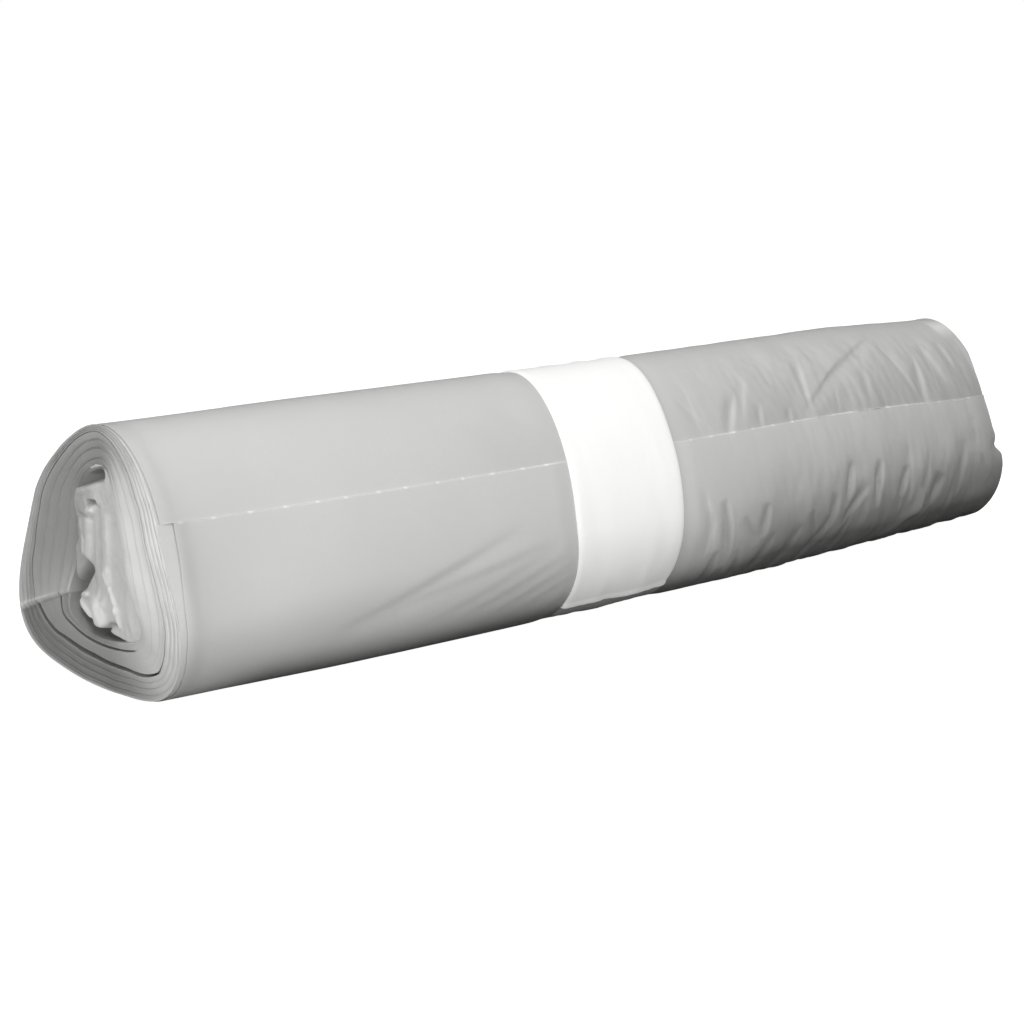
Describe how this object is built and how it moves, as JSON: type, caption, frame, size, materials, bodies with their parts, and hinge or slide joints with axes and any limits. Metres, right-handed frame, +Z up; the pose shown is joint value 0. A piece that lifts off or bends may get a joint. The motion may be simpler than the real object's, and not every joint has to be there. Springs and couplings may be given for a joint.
{
  "type": "bin bag roll",
  "caption": "Coreless roll of translucent bin bags that lies on its side, held shut by a wide paper band round its middle.",
  "frame": {"origin": "on the floor, at the centre of the bounding box seen from above", "axes": "+X along the roll, -Y the side of the film's free edge, +Z up"},
  "size_m": [0.35, 0.0776, 0.0685],
  "materials": {
    "film": "milky translucent polythene film, satin",
    "paper": "plain white uncoated paper"
  },
  "bodies": {
    "root": {"film_roll": "film", "paper_band": "paper"}
  },
  "joints": []
}
